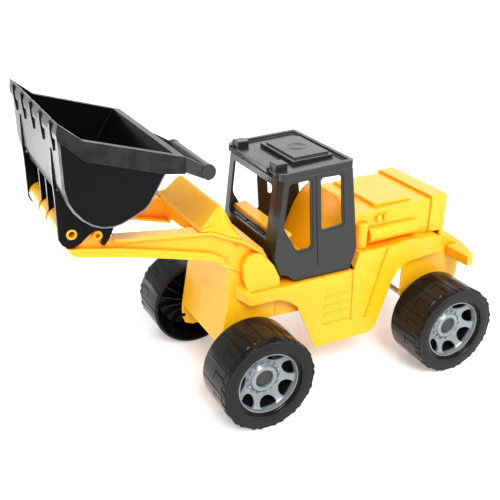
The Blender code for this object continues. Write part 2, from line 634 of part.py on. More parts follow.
def build_arm(side, sign):
    """Channel-section lift arm: recessed web outside, open channel inside, hooked tail."""
    arm = side_prism(f"arm_{side}", arm_outline(), *mirror_y(ARM_IN_Y, ARM_OUT_Y, sign), YELLOW)
    recess = side_prism(f"arm_recess_{side}", [
        (188.9, 243.4), (147.5, 235.6), (96.6, 222.6), (42.7, 208.2), (23.2, 196.5), (9.0, 192.0),
        (9.0, 206.0), (12.0, 216.6), (27.2, 223.5), (41.6, 230.8), (96.4, 236.5), (146.6, 242.2),
        (152.0, 243.6), (158.0, 262.0), (168.0, 300.0), (230.0, 300.0), (230.0, 245.8), (202.6, 245.8),
        (196.0, 244.0),
    ], *mirror_y(ARM_WEB_Y, ARM_OUT_Y + 4.0, sign))
    tail = side_prism(f"arm_tail_recess_{side}", [
        *arc(LIFT_PIVOT, DRUM_R + 0.7, 128.0, 145.0, 2), *arc(LIFT_PIVOT, 20.0, 150.0, 325.0, 12),
        (12.0, 172.0), (18.6, 179.0), (19.6, 186.0), (27.0, 194.6), (27.0, 198.6),
        *arc((20.5, 208.0), 11.0, -60.0, -236.0, 9), (4.9, 213.9),
    ], *mirror_y(ARM_TAIL_Y, ARM_OUT_Y + 4.0, sign))
    channel = side_prism(f"arm_channel_{side}", [
        (230.0, 210.0), (150.0, 210.0), (150.0, 228.8), (97.0, 216.6), (44.0, 202.6), (44.0, 150.0),
        (-60.0, 150.0), (-60.0, 260.0), (44.0, 260.0), (44.0, 231.0), (96.4, 236.5), (146.6, 242.2),
        (150.0, 243.0), (150.0, 300.0), (230.0, 300.0),
    ], *mirror_y(ARM_IN_Y - 4.0, ARM_WEB_IN_Y, sign))
    stop = cross_cylinder(f"stop_boss_{side}", STOP_TUBE, STOP_R,
                          *mirror_y(ARM_WEB_IN_Y + 1.0, ARM_OUT_Y - 0.2, sign))
    stop_bore = cross_cylinder(f"stop_bore_{side}", STOP_TUBE, 2.6,
                               *mirror_y(ARM_WEB_Y + 1.0, ARM_OUT_Y + 4.0, sign), None, 12)
    shaft = cross_cylinder(f"arm_shaft_bore_{side}", LIFT_PIVOT, SHAFT_R + RUN_GAP,
                           *mirror_y(ARM_IN_Y - 4.0, ARM_OUT_Y + 4.0, sign), None, 20)
    pin = cross_cylinder(f"arm_pin_bore_{side}", BUCKET_PIVOT, PIN_R + GAP,
                         *mirror_y(ARM_IN_Y - 4.0, ARM_OUT_Y + 4.0, sign), None, 24)
    cut(arm, recess, tail, channel)
    join(arm, stop)
    cut(arm, stop_bore, shaft, pin)


def build_lift_shaft():
    """Rod through the front frame that carries both arm tails behind the uprights."""
    half = ARM_TAIL_Y + 0.2
    smooth_round(cross_cylinder("lift_shaft", LIFT_PIVOT, SHAFT_R, -half, half, STEEL, 20))


def build_nose_beam():
    """Cross member behind the bucket pin, slotted for the two inner bucket ears."""
    half = ARM_WEB_IN_Y - GAP
    nose = arc(BUCKET_PIVOT, NOSE_R, 100.0, -52.0, 10)
    beam = side_prism("nose_beam", [
        (202.0, 245.4), (197.0, 238.4), (193.0, 235.8), (156.0, 228.4), (154.0, 232.0), (154.0, 243.0),
        (166.0, 254.0), (182.0, 268.0), *nose,
    ], -half, half, YELLOW)
    hollow = side_prism("nose_beam_hollow", [
        (190.0, 220.0), (160.0, 220.0), (158.0, 241.6), (168.0, 251.0), (184.0, 252.0), (186.0, 246.0),
    ], -half + 3.0, half - 3.0)
    slots = [
        side_prism(f"ear_slot_{s}", [
            (235.0, 230.0), (172.0, 230.0), (168.0, 246.0), (160.0, 300.0), (235.0, 300.0),
        ], k * INNER_EAR_Y - 3.2, k * INNER_EAR_Y + 3.2)
        for s, k in (("left", 1.0), ("right", -1.0))
    ]
    bore = cross_cylinder("beam_pin_bore", BUCKET_PIVOT, PIN_R + GAP, -80.0, 80.0)
    cut(beam, hollow, *slots, bore)


def build_bucket_pin():
    pin = cross_cylinder("bucket_pin", BUCKET_PIVOT, PIN_R, -69.4, 69.4, YELLOW, 24)
    bore = cross_cylinder("bucket_pin_bore", BUCKET_PIVOT, 3.4, -80.0, 80.0, None, 16)
    cut(pin, bore)
    smooth_round(pin)


def build_hump():
    """Cover that bridges the rear of both arms."""
    def ring(y, lift):
        low = [(56.5, 236.7), (41.0, 234.9), (26.0, 227.3), (3.4, 217.6)]
        high = [(8.0, 227.0), (20.0, 251.5), (23.0, 256.8), (27.0, 259.0), (31.5, 256.8), (52.0, 238.6)]
        base = [(6.0, 220.0), (18.0, 225.4), (22.0, 227.4), (26.0, 229.2), (32.0, 232.4), (53.0, 238.2)]
        top = [(b[0] + (h[0] - b[0]) * lift, b[1] + (h[1] - b[1]) * lift) for b, h in zip(base, high)]
        return [(x, y, z) for x, z in low + top]
    hump = loft("hump_cover", [
        ring(-69.0, 0.0), ring(-66.0, 0.35), ring(-57.0, 0.95), ring(-54.0, 1.0), ring(54.0, 1.0),
        ring(57.0, 0.95), ring(66.0, 0.35), ring(69.0, 0.0),
    ], YELLOW)
    hollow = side_prism("hump_hollow", [
        (49.0, 200.0), (49.0, 237.0), (30.2, 253.6), (27.0, 255.4), (24.6, 253.6),
        (10.4, 225.4), (8.6, 200.0),
    ], -49.0, 49.0)
    cut(hump, hollow)


# ---------------------------------------------------------------- bucket
def build_bucket():
    """Scoop with its rim band, ears, hooks and ribs, all moulded in one piece."""
    t = BUCKET_WALL
    shell = side_prism("bucket_shell", [
        (208.4, 376.0), (208.1, 320.0), (204.8, 304.5), (199.6, 294.6), (191.6, 285.0), (181.9, 277.6),
        (172.0, 273.7), (162.0, 272.6), (152.0, 274.4), (138.0, 280.2), (127.0, 286.0), (121.5, 291.0),
        (113.1, 304.7), (103.4, 321.4), (186.0, 350.0),
    ], -BUCKET_BODY_Y, BUCKET_BODY_Y, BLACK)
    band = side_prism("bucket_band", [
        (208.1, 384.2), (210.0, 374.6), (209.6, 368.0), (203.0, 363.0), (185.7, 346.0), (105.8, 321.6),
        (85.0, 318.9), (84.2, 336.3), (185.9, 365.8),
    ], -BUCKET_Y, BUCKET_Y)
    cavity = side_prism("bucket_cavity", [
        (206.4, 392.0), (205.2, 372.0), (204.9, 320.4), (201.8, 305.9), (197.0, 296.6), (189.5, 287.6),
        (180.6, 280.8), (171.4, 277.0), (162.4, 275.9), (153.4, 277.6), (139.6, 283.2), (129.2, 288.6),
        (124.0, 293.2), (115.9, 306.4), (106.4, 322.6), (93.6, 340.6), (93.0, 392.0),
    ], -BUCKET_BODY_Y + t, BUCKET_BODY_Y - t)
    join(shell, band)
    cut(shell, cavity)
    ear = [
        (209.6, 312.0), (209.8, 256.4), (207.0, 250.7), (201.9, 246.4), (195.8, 245.4), (188.6, 248.9),
        (177.3, 258.4), (171.6, 261.1), (166.0, 260.0), (164.2, 254.5), (166.6, 244.0), (163.6, 242.2),
        (158.0, 249.0), (153.0, 259.0), (149.6, 280.4), (162.6, 275.2), (170.6, 275.2), (181.2, 278.8),
        (192.0, 287.4), (203.4, 305.2),
    ]
    inner_ear = [
        (205.5, 306.0), (205.8, 256.0), (202.0, 249.6), (196.0, 247.0), (188.6, 250.4), (180.0, 262.0),
        (175.0, 276.0), (181.2, 278.8), (192.0, 287.4),
    ]
    long_rib = [(206.4, 298.0), (209.6, 301.0), (210.2, 318.0), (209.2, 352.0), (207.0, 352.0)]
    for i, y in enumerate((-66.9, 66.9)):
        inner_y = math.copysign(INNER_EAR_Y, y)
        outer = side_prism(f"outer_ear_{i}", ear, y - EAR_THICK / 2.0, y + EAR_THICK / 2.0)
        inner = side_prism(f"inner_ear_{i}", inner_ear, inner_y - 2.0, inner_y + 2.0)
        rib = side_prism(f"long_rib_{i}", long_rib, y - 2.0, y + 2.0)
        join(shell, outer, inner, rib)
    tooth = [(207.2, 384.0), (211.0, 380.0), (211.0, 372.0), (209.4, 330.0), (206.8, 330.0), (206.8, 374.0)]
    for i in range(5):
        y = -80.0 + 40.0 * i
        join(shell, side_prism(f"tooth_{i}", tooth, y - 2.6, y + 2.6))
    cut(shell, cross_cylinder("ear_bore", BUCKET_PIVOT, PIN_R + RUN_GAP, -90.0, 90.0))


def build_handle():
    """Grip bar behind the left half of the bucket, with a bracket at each end."""
    bar = (59.6, 316.5)
    grip = cross_cylinder("bucket_handle", bar, 7.9, 3.0, 102.0, BLACK, 24)
    bracket = [
        (83.8, 319.6), (83.8, 336.0), *arc(bar, 8.6, 62.0, 272.0, 10),
    ]
    for i, (y0, y1) in enumerate(((4.0, 7.6), (97.0, 100.8))):
        join(grip, side_prism(f"handle_bracket_{i}", bracket, y0, y1))


def build_all():
    clear_scene()
    build_front_frame()
    build_main_body()
    build_rear_frame()
    build_rear_bumper()
    build_hood()
    build_rear_cap()
    build_side_details()
    build_cab()
    build_dashboard()
    build_roof()
    build_axles()
    build_lift_shaft()
    for side, sign in (("left", 1.0), ("right", -1.0)):
        build_arm(side, sign)
    build_nose_beam()
    build_bucket_pin()
    build_hump()
    build_bucket()
    build_handle()
    for end, x in (("front", 0.0), ("rear", -WHEELBASE)):
        for side, sign in (("left", 1.0), ("right", -1.0)):
            build_wheel(f"wheel_{end}_{side}", x, sign)


build_all()
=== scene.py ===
"""Looks of the toy front loader: moulded skins over the CAD frame, detailed wheels, materials, studio."""

import json
import math

import bmesh
import bpy
from mathutils import Matrix, Vector


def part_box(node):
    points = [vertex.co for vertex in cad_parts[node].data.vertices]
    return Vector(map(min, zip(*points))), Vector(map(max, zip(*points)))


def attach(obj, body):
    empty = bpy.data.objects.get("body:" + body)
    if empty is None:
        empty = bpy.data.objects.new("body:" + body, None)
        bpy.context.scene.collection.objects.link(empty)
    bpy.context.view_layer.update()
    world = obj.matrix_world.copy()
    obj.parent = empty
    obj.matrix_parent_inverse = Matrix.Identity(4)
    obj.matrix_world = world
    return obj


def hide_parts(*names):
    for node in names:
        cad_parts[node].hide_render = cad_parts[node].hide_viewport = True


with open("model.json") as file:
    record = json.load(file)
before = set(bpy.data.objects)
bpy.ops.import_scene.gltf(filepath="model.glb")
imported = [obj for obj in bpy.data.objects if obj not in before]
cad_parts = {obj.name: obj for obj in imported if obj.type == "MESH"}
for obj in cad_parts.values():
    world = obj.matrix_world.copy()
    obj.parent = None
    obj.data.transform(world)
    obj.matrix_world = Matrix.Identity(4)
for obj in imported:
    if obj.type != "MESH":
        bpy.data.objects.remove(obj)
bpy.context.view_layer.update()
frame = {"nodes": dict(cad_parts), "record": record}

MM = 0.001
BODY_OF = {node: body for body, nodes in frame["record"]["behaviour"]["bodies"].items() for node in nodes}
EDGE_MARK = "rounded_edge"             # mesh attribute: 1 on rounded edges, less on the bucket rim faces with a painted highlight
WHEELS = [f"wheel_{end}_{side}" for end in ("front", "rear") for side in ("left", "right")]


# ---------------------------------------------------------------- materials
DRIFT_SCALE = 9.0                      # noise scales, from slow colour drift to spark-eroded grain
SINK_SCALE = 26.0
SCUFF_SCALE = 38.0
WEAR_AND_HIGHLIGHT_SCALE = 70.0
GRAIN_SCALE = 1500.0
CREVICE_SHADE_REACH = 0.012                  # how close walls have to be for a crevice's painted shade, m
# strongest share of the painted crevice shade colour
CREVICE_SHADE_AMOUNT = 0.85


def new_material(name):
    mat = bpy.data.materials.new(name)
    mat.use_nodes = True
    nodes, links = mat.node_tree.nodes, mat.node_tree.links
    return mat, nodes, links, nodes["Principled BSDF"]


def noise(nodes, links, coords, scale, detail=3.0, roughness=0.5):
    tex = nodes.new("ShaderNodeTexNoise")
    tex.inputs["Scale"].default_value = scale
    tex.inputs["Detail"].default_value = detail
    tex.inputs["Roughness"].default_value = roughness
    links.new(coords.outputs["Object"], tex.inputs["Vector"])
    return tex


def remap(nodes, links, source, low, high, to_low, to_high):
    node = nodes.new("ShaderNodeMapRange")
    node.inputs["From Min"].default_value = low
    node.inputs["From Max"].default_value = high
    node.inputs["To Min"].default_value = to_low
    node.inputs["To Max"].default_value = to_high
    links.new(source, node.inputs["Value"])
    return node


def blend_colours(nodes, links, factor, first, second):
    """Colour node that goes from the first colour to the second as factor rises."""
    node = nodes.new("ShaderNodeMix")
    node.data_type = "RGBA"
    links.new(factor, node.inputs["Factor"])
    for socket, value in (("A", first), ("B", second)):
        target = [s for s in node.inputs if s.name == socket and s.type == "RGBA"][0]
        if isinstance(value, tuple):
            target.default_value = value
        else:
            links.new(value, target)
    return [s for s in node.outputs if s.type == "RGBA"][0]


def edge_wear_and_highlight(nodes, links, coords, strength):
    """Up to strength on the rounded edges that round_edges() marks, broken up by noise: partly edge wear,
    partly a painted highlight.
    """
    edge = nodes.new("ShaderNodeAttribute")
    edge.attribute_name = EDGE_MARK
    patches = noise(nodes, links, coords, WEAR_AND_HIGHLIGHT_SCALE, 5.0)
    mask = remap(nodes, links, patches.outputs["Fac"], 0.40, 0.62, 0.55 * strength, strength)
    both = nodes.new("ShaderNodeMath")
    both.operation = "MULTIPLY"
    links.new(edge.outputs["Fac"], both.inputs[0])
    links.new(mask.outputs["Result"], both.inputs[1])
    return both.outputs[0]


def crevice_shade(nodes, links, reach, amount):
    """Painted shade: 0 in the open, up to amount where the surface is closed in, as in grooves and inside
    corners.
    """
    shade = nodes.new("ShaderNodeAmbientOcclusion")
    shade.samples = 6
    shade.inputs["Distance"].default_value = reach
    return remap(nodes, links, shade.outputs["AO"], 0.90, 0.35, 0.0, amount).outputs["Result"]


def moulded_plastic(name, base, deep, worn_plus_highlight, rough, grain=0.05, wear_plus_highlight=0.5, specular=0.5, crevice_shade_colour=None):
    """Injection-moulded plastic: colour drift, fine spark-eroded grain, scuffed gloss, paler edges that
    are partly wear and partly painted highlight, and optional painted shade in crevices.
    """
    mat, nodes, links, shader = new_material(name)
    coords = nodes.new("ShaderNodeTexCoord")
    drift = noise(nodes, links, coords, DRIFT_SCALE, 3.0)
    slow = remap(nodes, links, drift.outputs["Fac"], 0.35, 0.7, 0.0, 1.0).outputs["Result"]
    colour = blend_colours(nodes, links, slow, base, deep)
    # painted shade: the colour turns to the crevice colour where the surface is closed in
    if crevice_shade_colour:
        closed = crevice_shade(nodes, links, CREVICE_SHADE_REACH, CREVICE_SHADE_AMOUNT)
        colour = blend_colours(nodes, links, closed, colour, crevice_shade_colour)
    # paler colour on rounded edges: partly wear, partly painted highlight
    colour = blend_colours(nodes, links, edge_wear_and_highlight(nodes, links, coords, wear_plus_highlight), colour, worn_plus_highlight)
    links.new(colour, shader.inputs["Base Color"])
    scuffs = noise(nodes, links, coords, SCUFF_SCALE, 6.0, 0.65)
    gloss = remap(nodes, links, scuffs.outputs["Fac"], 0.3, 0.75, rough * 0.85, rough * 1.2)
    links.new(gloss.outputs["Result"], shader.inputs["Roughness"])
    shader.inputs["Specular IOR Level"].default_value = specular
    fine = noise(nodes, links, coords, GRAIN_SCALE, 2.0)
    waves = noise(nodes, links, coords, SINK_SCALE, 2.0)
    sink = nodes.new("ShaderNodeBump")
    sink.inputs["Strength"].default_value = 0.04
    sink.inputs["Distance"].default_value = 0.003
    links.new(waves.outputs["Fac"], sink.inputs["Height"])
    bump = nodes.new("ShaderNodeBump")
    bump.inputs["Strength"].default_value = grain
    bump.inputs["Distance"].default_value = 0.0002
    links.new(fine.outputs["Fac"], bump.inputs["Height"])
    links.new(sink.outputs["Normal"], bump.inputs["Normal"])
    links.new(bump.outputs["Normal"], shader.inputs["Normal"])
    return mat, shader


def steel_material():
    """Drawn steel rod with fine lines along its length."""
    mat, nodes, links, shader = new_material("axle_steel_drawn")
    coords = nodes.new("ShaderNodeTexCoord")
    stretch = nodes.new("ShaderNodeMapping")
    stretch.inputs["Scale"].default_value = (900.0, 12.0, 900.0)
    links.new(coords.outputs["Object"], stretch.inputs["Vector"])
    lines = nodes.new("ShaderNodeTexNoise")
    lines.inputs["Scale"].default_value = 1.0
    links.new(stretch.outputs["Vector"], lines.inputs["Vector"])
    links.new(blend_colours(nodes, links, lines.outputs["Fac"], (0.42, 0.42, 0.42, 1.0),
                            (0.70, 0.70, 0.69, 1.0)), shader.inputs["Base Color"])
    links.new(remap(nodes, links, lines.outputs["Fac"], 0.3, 0.7, 0.22, 0.42).outputs["Result"],
              shader.inputs["Roughness"])
    shader.inputs["Metallic"].default_value = 1.0
    return mat


# the yellow's crevice colour is painted shade; the worn colours below are partly edge wear, partly painted
# highlight
YELLOW, YELLOW_SHADER = moulded_plastic(
    "yellow_moulding", base=(1.0, 0.50, 0.009, 1.0), deep=(1.0, 0.475, 0.008, 1.0),
    worn_plus_highlight=(1.0, 0.66, 0.06, 1.0), rough=0.28, wear_plus_highlight=0.8, specular=0.4, crevice_shade_colour=(1.0, 0.28, 0.002, 1.0))
YELLOW_SHADER.inputs["Subsurface Weight"].default_value = 0.35
YELLOW_SHADER.inputs["Subsurface Radius"].default_value = (1.0, 0.35, 0.02)
YELLOW_SHADER.inputs["Subsurface Scale"].default_value = 0.010
CAB_BLACK, _ = moulded_plastic(
    "cab_moulding", base=(0.020, 0.0215, 0.0205, 1.0), deep=(0.017, 0.018, 0.0175, 1.0),
    worn_plus_highlight=(0.16, 0.16, 0.16, 1.0), rough=0.24, grain=0.10, wear_plus_highlight=0.6, specular=0.38)
# bucket: its pale worn colour is mostly painted highlight on the edges, the rim top and the band
BUCKET_BLACK, _ = moulded_plastic(
    "bucket_moulding", base=(0.0032, 0.0038, 0.0042, 1.0), deep=(0.0026, 0.003, 0.0034, 1.0),
    worn_plus_highlight=(0.30, 0.31, 0.31, 1.0), rough=0.20, grain=0.06, wear_plus_highlight=0.8, specular=0.09)
TYRE_BLACK, _ = moulded_plastic(
    "tyre_moulding", base=(0.012, 0.0125, 0.012, 1.0), deep=(0.008, 0.0085, 0.008, 1.0),
    worn_plus_highlight=(0.10, 0.10, 0.098, 1.0), rough=0.17, grain=0.05, wear_plus_highlight=0.5, specular=0.17)
SILVER, SILVER_SHADER = moulded_plastic(
    "rim_moulding", base=(0.30, 0.33, 0.34, 1.0), deep=(0.26, 0.29, 0.30, 1.0),
    worn_plus_highlight=(0.60, 0.62, 0.63, 1.0), rough=0.32, wear_plus_highlight=0.5)
SILVER_SHADER.inputs["Metallic"].default_value = 0.5
CAP_GREY, _ = moulded_plastic(
    "hub_cap_moulding", base=(0.034, 0.038, 0.038, 1.0), deep=(0.030, 0.034, 0.034, 1.0),
    worn_plus_highlight=(0.12, 0.12, 0.12, 1.0), rough=0.4, wear_plus_highlight=0.4, specular=0.3)
STEEL = steel_material()


# ---------------------------------------------------------------- mesh helpers
def finish_piece(name, bm, material, node, replaced=(), sharp=38.0):
    """Turns bm into a shown piece in place of its CAD nodes, on the body of its first node."""
    mesh = bpy.data.meshes.new(name)
    bm.to_mesh(mesh)
    bm.free()
    mesh.validate()
    obj = bpy.data.objects.new(name, mesh)
    bpy.context.scene.collection.objects.link(obj)
    mesh.materials.append(material)
    mesh.shade_smooth()
    mesh.set_sharp_from_angle(angle=math.radians(sharp))
    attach(obj, BODY_OF[node])
    if replaced:
        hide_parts(*replaced)
    return obj


def weighted_normals(obj):
    mod = obj.modifiers.new("weighted_normals", "WEIGHTED_NORMAL")
    mod.keep_sharp = True
    mod.weight = 60


def round_edges(bm, width, picked, segments=2):
    """Rounds the picked edges and marks the new faces."""
    mark = bm.loops.layers.float.get(EDGE_MARK) or bm.loops.layers.float.new(EDGE_MARK)
    made = bmesh.ops.bevel(bm, geom=picked, offset=width, offset_type="OFFSET", segments=segments,
                           profile=0.5, affect="EDGES", clamp_overlap=True, loop_slide=True)
    for face in made["faces"]:
        for loop in face.loops:
            loop[mark] = 1.0


def sharp_edges(bm, angle):
    limit = math.radians(angle)
    return [e for e in bm.edges if len(e.link_faces) == 2 and e.calc_face_angle(0.0) > limit]


def clean_copy(node):
    """bmesh of a CAD node with its coplanar triangles merged into whole faces."""
    bm = bmesh.new()
    bm.from_mesh(frame["nodes"][node].data)
    bmesh.ops.remove_doubles(bm, verts=bm.verts, dist=2e-5)
    bmesh.ops.dissolve_limit(bm, angle_limit=math.radians(0.6), verts=bm.verts, edges=bm.edges)
    return bm


def skin(node, material, width=0.6, angle=32.0, before=None):
    """The CAD node's own shape with the soft edges that a moulding has."""
    bm = clean_copy(node)
    if before:
        before(bm)
    round_edges(bm, width * MM, sharp_edges(bm, angle))
    obj = finish_piece(f"{node}_moulding", bm, material, node, [node])
    weighted_normals(obj)
    return obj


def bake_modifiers(obj):
    """Turns the modifiers' result into the object's own mesh."""
    graph = bpy.context.evaluated_depsgraph_get()
    mesh = bpy.data.meshes.new_from_object(obj.evaluated_get(graph))
    obj.modifiers.clear()
    obj.data = mesh


def revolve(bm, wheel, profile, steps):
    """Closed ring of (radius, across) points turned about the wheel axis."""
    rows = []
    for i in range(steps):
        a = 2.0 * math.pi * i / steps
        rows.append([bm.verts.new(wheel.spot(r, across, a)) for r, across in profile])
    close_grid(bm, rows)


def close_grid(bm, rows):
    count = len(rows[0])
    for i, row in enumerate(rows):
        ahead = rows[(i + 1) % len(rows)]
        for j in range(count):
            k = (j + 1) % count
            bm.faces.new((row[j], row[k], ahead[k], ahead[j]))


def outward(bm):
    bmesh.ops.recalc_face_normals(bm, faces=bm.faces)
    if bm.calc_volume(signed=True) < 0.0:
        bmesh.ops.reverse_faces(bm, faces=bm.faces)


def add_block(bm, corners_low, corners_high):
    """Closed solid between two rings of points."""
    low = [bm.verts.new(p) for p in corners_low]
    high = [bm.verts.new(p) for p in corners_high]
    count = len(low)
    for i in range(count):
        j = (i + 1) % count
        bm.faces.new((low[i], low[j], high[j], high[i]))
    bm.faces.new(low)
    bm.faces.new(high)


# ---------------------------------------------------------------- wheels
TYRE_WIDTH = 61.0                      # outer face to inner edge, mm
LUGS = 39                              # thirds of a tread block round a tyre, two in three with a lug
ANGLE_MARKS = (0.0, 0.4, 1.2, 1.6, 2.1, 6.3, 6.8, 8.2)          # degrees within one lug pitch
GROOVE_MARKS = (1, 2)
LUG_MARKS = (4, 5)
TREAD_DEPTH = 0.9
LUG_DROP = 1.2
TREAD_R = 59.6
RIBS = 16                              # radial ribs inside a wheel body
RIB_HALF = 0.8
RIM_STEPS = 112
RIM_WINDOWS = 7
FIRST_WINDOW = math.radians(7.7)
WINDOW_REACH = (36.0, 54.6)            # the window cutter's two ends, across from the inner edge
NUBS = 14                              # small blocks round the rim's hub
NUB_R = 19.9
CAP_STEPS = 64


class Wheel:
    """Place and size of one wheel, read from its CAD tyre."""

    def __init__(self, label):
        low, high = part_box(f"{label}_tyre")
        self.label = label
        self.sign = 1.0 if label.endswith("left") else -1.0
        self.centre = (low + high) / 2.0
        self.inner_y = (high.y if self.sign > 0 else low.y) - self.sign * TYRE_WIDTH * MM

    def spot(self, radius, across, angle):
        """Point at a radius and angle about the axle, across outward from the tyre's inner edge."""
        return Vector((self.centre.x + radius * MM * math.cos(angle),
                       self.inner_y + self.sign * across * MM,
                       self.centre.z + radius * MM * math.sin(angle)))


def tyre_rows():
    """(radius, across, role) round the tyre's section: web, hollow, tread, lugs, side, mouth."""
    return [
        (4.6, -0.9, "side"), (9.0, -0.9, "side"), (9.5, -0.4, "side"), (9.6, 28.4, "side"),
        (43.2, 28.4, "side"), (43.4, 53.2, "side"), (52.0, 54.6, "side"), (55.0, 52.0, "side"),
        (55.4, 0.8, "side"), (55.8, 0.1, "side"), (57.0, 0.0, "side"), (58.4, 0.6, "side"),
        (59.3, 1.8, "inner"), (TREAD_R, 3.4, "inner"), (TREAD_R, 29.8, "inner"),
        (TREAD_R, 30.2, "middle"), (TREAD_R, 31.2, "middle"), (TREAD_R, 31.6, "outer"),
        (TREAD_R, 51.4, "outer"), (60.0, 52.2, "lug"), (60.0, 59.4, "lug"), (59.8, 60.2, "lug"),
        (59.0, 60.8, "lug"), (56.6, 61.0, "side"), (55.6, 60.6, "side"), (54.6, 60.9, "side"),
        (44.4, 60.9, "side"), (43.2, 60.6, "side"), (42.6, 59.8, "side"), (42.4, 56.9, "side"),
        (42.0, 56.5, "side"), (40.4, 56.5, "side"), (40.0, 56.0, "side"), (40.0, 31.4, "side"),
        (4.6, 31.4, "side"),
    ]


def tread_drop(role, lug, mark):
    """How far the tread sinks: full and half grooves with a step between them, and gaps between lugs."""
    groove = mark in GROOVE_MARKS
    full = groove and lug % 3 == 0
    half = groove and lug % 3 == 2
    step = (lug % 3 == 1 and mark >= 1) or (lug % 3 == 2 and mark <= 2)
    if role == "lug":
        return 0.0 if mark in LUG_MARKS and lug % 3 != 2 else LUG_DROP
    if role == "outer":
        return TREAD_DEPTH if full or half else 0.0
    if role == "middle":
        return TREAD_DEPTH if full or step else 0.0
    if role == "inner":
        return TREAD_DEPTH if full else 0.0
    return 0.0


def build_tyre(wheel):
    node = f"{wheel.label}_tyre"
    bm = bmesh.new()
    rows = []
    for lug in range(LUGS):
        for mark, degrees in enumerate(ANGLE_MARKS):
            a = math.radians(lug * 360.0 / LUGS + degrees)
            rows.append([bm.verts.new(wheel.spot(r - tread_drop(role, lug, mark), across, a))
                         for r, across, role in tyre_rows()])
    close_grid(bm, rows)
    for i in range(RIBS):
        a = 2.0 * math.pi * (i + 0.5) / RIBS
        thick = Vector((-math.sin(a), 0.0, math.cos(a))) * RIB_HALF * MM
        for section in (
            [(43.5, 52.9), (52.0, 54.3), (55.1, 51.0), (55.3, 12.0), (53.6, 12.0), (43.5, 30.0)],
            [(9.7, 28.3), (43.0, 28.3), (43.0, 24.0), (9.7, 12.0)],
        ):
            spots = [wheel.spot(r, across, a) for r, across in section]
            add_block(bm, [s - thick for s in spots], [s + thick for s in spots])
    outward(bm)
    return finish_piece(f"{node}_moulding", bm, TYRE_BLACK, node, [node], 24.0)


def window_outline(mid):
    """Arch-shaped rim window, flat along the rim and domed toward the hub."""
    points = []
    for k in range(13):
        t = math.radians(-90.0 + 180.0 * k / 12)
        points.append((33.4 - 8.8 * math.cos(t), 10.8 * math.sin(t)))
    points += [(34.9, 10.6), (36.0, 9.4), (36.7, 4.8), (36.8, 0.0), (36.7, -4.8), (36.0, -9.4),
               (34.9, -10.6)]
    turned = []
    for u, v in points:
        turned.append((u * math.cos(mid) - v * math.sin(mid), u * math.sin(mid) + v * math.cos(mid)))
    return turned


def rim_profile():
    """(radius, across) round the rim's section: hub, coned disc, lip and back."""
    return [
        (4.6, 31.8), (9.0, 31.8), (9.5, 39.2), (20.0, 39.6), (24.0, 41.2), (30.0, 44.6), (36.0, 48.2),
        (38.6, 49.4), (39.6, 50.2), (39.6, 55.4), (39.3, 56.3), (38.6, 56.7), (37.9, 56.4),
        (37.6, 55.4), (37.5, 53.2), (37.0, 51.8), (35.6, 50.6), (30.0, 47.0), (24.0, 43.6),
        (21.6, 42.5), (20.0, 42.3), (18.6, 43.0), (17.4, 44.6), (16.6, 45.8), (15.6, 46.3),
        (12.4, 46.3), (11.6, 45.8), (11.1, 44.8), (11.1, 40.3), (4.6, 40.3),
    ]


def cut_windows(solid, wheel):
    """Cuts the arch-shaped windows through the rim's disc."""
    cutter = bmesh.new()
    for k in range(RIM_WINDOWS):
        outline = window_outline(2.0 * math.pi * k / RIM_WINDOWS + FIRST_WINDOW)
        ends = [[Vector((wheel.centre.x + wheel.sign * x * MM, wheel.inner_y + wheel.sign * across * MM,
                         wheel.centre.z + z * MM)) for x, z in outline] for across in WINDOW_REACH]
        add_block(cutter, *ends)
    outward(cutter)
    mesh = bpy.data.meshes.new("rim_windows")
    cutter.to_mesh(mesh)
    cutter.free()
    knife = bpy.data.objects.new("rim_windows", mesh)
    bpy.context.scene.collection.objects.link(knife)
    cut = solid.modifiers.new("windows", "BOOLEAN")
    cut.operation = "DIFFERENCE"
    cut.solver = "EXACT"
    cut.object = knife
    bake_modifiers(solid)
    bpy.data.objects.remove(knife)


def add_nub(bm, wheel, angle):
    """Small chamfered block on the rim's disc, beside the hub."""
    along = Vector((math.cos(angle), 0.0, math.sin(angle)))
    side = Vector((-math.sin(angle), 0.0, math.cos(angle)))
    rings = []
    for across, grow in ((42.0, 1.0), (44.4, 1.0), (45.0, 0.72)):
        ring = []
        for du, dv in ((-1.3, -1.7), (1.3, -1.7), (1.3, 1.7), (-1.3, 1.7)):
            spot = wheel.centre + along * (NUB_R + du * grow) * MM + side * dv * grow * MM
            spot.y = wheel.inner_y + wheel.sign * across * MM
            ring.append(bm.verts.new(spot))
        rings.append(ring)
    faces = []
    for low, high in zip(rings, rings[1:]):
        for k in range(4):
            m = (k + 1) % 4
            faces.append(bm.faces.new((low[k], low[m], high[m], high[k])))
    faces.append(bm.faces.new(rings[0]))
    faces.append(bm.faces.new(rings[-1]))
    bmesh.ops.recalc_face_normals(bm, faces=faces)


def build_rim(wheel):
    node = f"{wheel.label}_rim"
    bm = bmesh.new()
    revolve(bm, wheel, rim_profile(), RIM_STEPS)
    outward(bm)
    solid = finish_piece(f"{node}_moulding", bm, SILVER, node, [node], 30.0)
    cut_windows(solid, wheel)
    bm = bmesh.new()
    bm.from_mesh(solid.data)
    for i in range(NUBS):
        add_nub(bm, wheel, 2.0 * math.pi * (i + 0.25) / NUBS)
    for face in bm.faces:
        face.smooth = True
    bm.to_mesh(solid.data)
    bm.free()
    solid.data.set_sharp_from_angle(angle=math.radians(30.0))
    return solid


